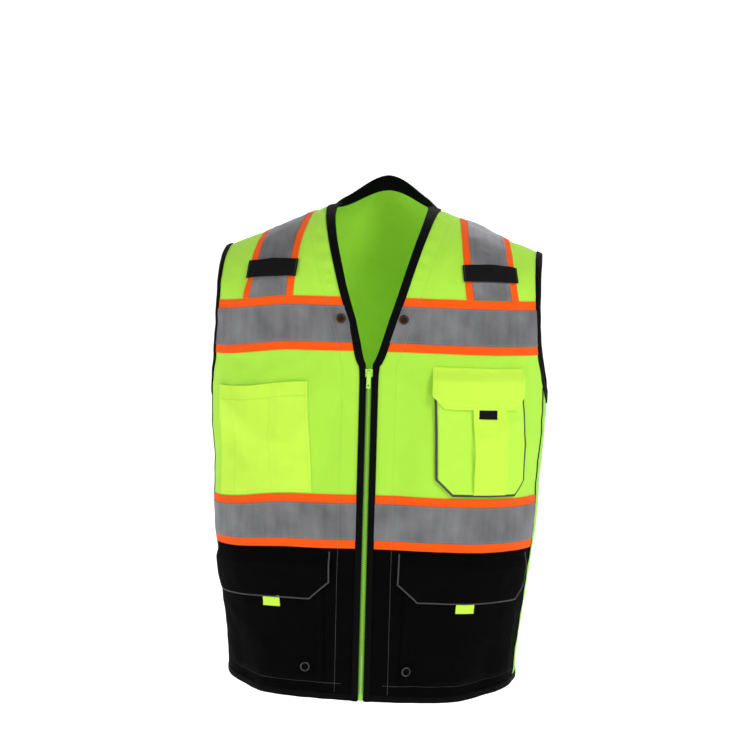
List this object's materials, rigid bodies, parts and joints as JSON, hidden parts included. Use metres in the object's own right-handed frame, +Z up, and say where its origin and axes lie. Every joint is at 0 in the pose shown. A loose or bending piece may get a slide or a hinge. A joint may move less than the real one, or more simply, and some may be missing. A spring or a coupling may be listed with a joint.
{
  "type": "high visibility vest",
  "caption": "Sleeveless high visibility vest with reflective bands on orange trim, zip front, chest pockets, flapped lower pockets, mesh sides and microphone tabs.",
  "frame": {"origin": "midway between the two points where the shoulder seams meet the neck", "axes": "+Z up, the wearer faces -Y, +X is the wearer's left"},
  "size_m": [0.4886, 0.2821, 0.7349],
  "materials": {
    "lime_fabric": "woven polyester, fluorescent lime yellow, matt",
    "lime_mesh": "open knitted polyester mesh, fluorescent lime yellow, matt",
    "yellow_fabric": "woven polyester, a yellower fluorescent lime, matt",
    "black_fabric": "woven polyester and bias binding, black, matt",
    "black_webbing": "ribbed black webbing, satin",
    "orange_trim": "woven contrast strip, fluorescent orange, matt",
    "silver_tape": "reflective tape of tiny glass beads, silver grey, satin",
    "grey_piping": "reflective piping cord, dark grey, satin",
    "bronze": "antique bronze plating, satin",
    "gunmetal": "gunmetal plating, satin",
    "lime_plastic": "moulded plastic, lime, gloss"
  },
  "bodies": {
    "shell": {"back_chest_tape": "silver_tape", "back_chest_trim": "orange_trim", "back_collar": "black_fabric", "back_panel": "lime_fabric", "back_waist_tape": "silver_tape", "back_waist_trim": "orange_trim", "chest_eyelet_left": "bronze", "chest_eyelet_right": "bronze", "chest_tape_left": "silver_tape", "chest_tape_right": "silver_tape", "chest_trim_left": "orange_trim", "chest_trim_right": "orange_trim", "front_left_panel": "lime_fabric", "front_right_panel": "lime_fabric", "hem_binding": "black_fabric", "hem_eyelet_left": "gunmetal", "hem_eyelet_right": "gunmetal", "left_armhole_binding": "black_fabric", "left_chest_pocket": "yellow_fabric", "left_chest_pocket_piping": "grey_piping", "left_chest_pocket_pleat": "yellow_fabric", "left_front_binding": "black_fabric", "left_lower_pocket": "black_fabric", "left_seam_piping": "black_fabric", "left_side_mesh": "lime_mesh", "lower_back_panel": "black_fabric", "lower_front_left_panel": "black_fabric", "lower_front_right_panel": "black_fabric", "mic_tab_left": "black_webbing", "mic_tab_right": "black_webbing", "right_armhole_binding": "black_fabric", "right_chest_pocket": "yellow_fabric", "right_front_binding": "black_fabric", "right_lower_pocket": "black_fabric", "right_seam_piping": "black_fabric", "right_side_mesh": "lime_mesh", "shoulder_tape_left": "silver_tape", "shoulder_tape_right": "silver_tape", "shoulder_trim_left": "orange_trim", "shoulder_trim_right": "orange_trim", "waist_tape_left": "silver_tape", "waist_tape_right": "silver_tape", "waist_trim_left": "orange_trim", "waist_trim_right": "orange_trim", "zip_box": "lime_plastic", "zip_tape_left": "lime_fabric", "zip_tape_right": "lime_fabric", "zip_teeth_left": "lime_plastic", "zip_teeth_right": "lime_plastic"},
    "zip_slider": {"zip_slider": "lime_plastic"},
    "zip_pull": {"zip_pull": "lime_plastic"},
    "chest_flap": {"chest_flap": "yellow_fabric", "chest_flap_tab": "black_webbing"},
    "right_lower_flap": {"right_lower_flap": "black_fabric", "right_lower_flap_piping": "grey_piping", "right_lower_flap_tab": "yellow_fabric"},
    "left_lower_flap": {"left_lower_flap": "black_fabric", "left_lower_flap_piping": "grey_piping", "left_lower_flap_tab": "yellow_fabric"}
  },
  "joints": [
    {"name": "zip_slide", "type": "slide", "parent": "shell", "child": "zip_slider", "axis": [0, 0, -1], "range_m": [0, 0.44]},
    {"name": "zip_pull_hinge", "type": "hinge", "parent": "zip_slider", "child": "zip_pull", "pos_m": [0, -0.151, -0.2264], "axis": [-1, 0, 0], "range_deg": [0, 165]},
    {"name": "chest_flap_hinge", "type": "hinge", "parent": "shell", "child": "chest_flap", "pos_m": [0.1643, -0.1219, -0.2188], "axis": [-0.9088, -0.4173, 0], "range_deg": [0, 125]},
    {"name": "left_lower_flap_hinge", "type": "hinge", "parent": "shell", "child": "left_lower_flap", "pos_m": [0.15934, -0.11995, -0.4798], "axis": [-0.8896, -0.4568, 0], "range_deg": [0, 125]},
    {"name": "right_lower_flap_hinge", "type": "hinge", "parent": "shell", "child": "right_lower_flap", "pos_m": [-0.15934, -0.11995, -0.4798], "axis": [-0.8896, 0.4568, 0], "range_deg": [0, 125]}
  ]
}
